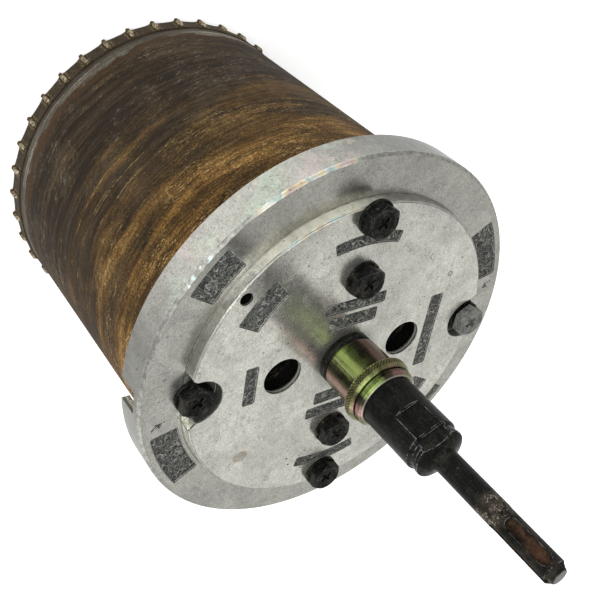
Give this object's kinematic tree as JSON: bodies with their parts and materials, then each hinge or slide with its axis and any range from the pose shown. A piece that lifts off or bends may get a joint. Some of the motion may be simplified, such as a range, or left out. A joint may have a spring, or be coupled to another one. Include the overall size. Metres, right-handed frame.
{
  "type": "core drill bit",
  "caption": "Dry core drill bit: toothed rim on a long rusty tube, zinc-plated adapter plate with bolts, quick-lock hub, and a black arbor with a grooved hammer-drill shank.",
  "frame": {"origin": "centre of the plane that the teeth stand on, on the bit's axis", "axes": "+Z along the axis from the teeth to the shank's tip; X through the four fixed bolts, Y through the side bolts and the ejection holes"},
  "size_m": [0.1768, 0.1768, 0.2852],
  "materials": {
    "crown": "sintered dark bronze colour, worn and dusty",
    "tube": "rusty brown steel with round streaks",
    "plate": "satin zinc plating with a faint iridescence",
    "black_steel": "black oxide, satin",
    "brown_washer": "worn brown black oxide",
    "worn_bolt": "black oxide worn to grey",
    "bright_steel": "bare steel",
    "yellow_chromate": "yellow chromate on zinc, green and pink tints",
    "spring_steel": "oiled spring steel",
    "arbor_steel": "black oxide with bright worn edges",
    "drill_steel": "grey blasted steel",
    "carbide": "ground hard metal"
  },
  "bodies": {
    "bit": {"cutting_crown": "crown", "core_tube": "tube", "tube_end_plate": "tube", "adapter_plate": "plate", "inner_washer_1": "brown_washer", "inner_washer_2": "brown_washer", "outer_washer_1": "black_steel", "outer_washer_2": "black_steel", "inner_bolt_1": "black_steel", "inner_bolt_2": "black_steel", "outer_bolt_1": "black_steel", "outer_bolt_2": "black_steel", "side_washer_1": "black_steel", "side_washer_2": "black_steel", "side_bolt_1": "black_steel", "side_spring_washer": "black_steel", "side_bolt_2": "worn_bolt", "hub": "black_steel", "hub_washer": "bright_steel", "hub_nut": "black_steel", "sleeve_spring": "spring_steel", "snap_ring": "spring_steel", "lock_ball_1": "bright_steel", "lock_ball_2": "bright_steel", "lock_ball_3": "bright_steel", "arbor": "arbor_steel", "centre_drill": "drill_steel", "carbide_tip": "carbide", "set_screw": "black_steel"},
    "sleeve": {"lock_sleeve": "yellow_chromate"}
  },
  "joints": [
    {"name": "sleeve_slide", "type": "slide", "parent": "bit", "child": "sleeve", "axis": [0, 0, 1], "range_m": [0, 0.004], "stiffness_N_per_m": 900, "springref_m": -0.005, "deforming": ["sleeve_spring"]}
  ]
}
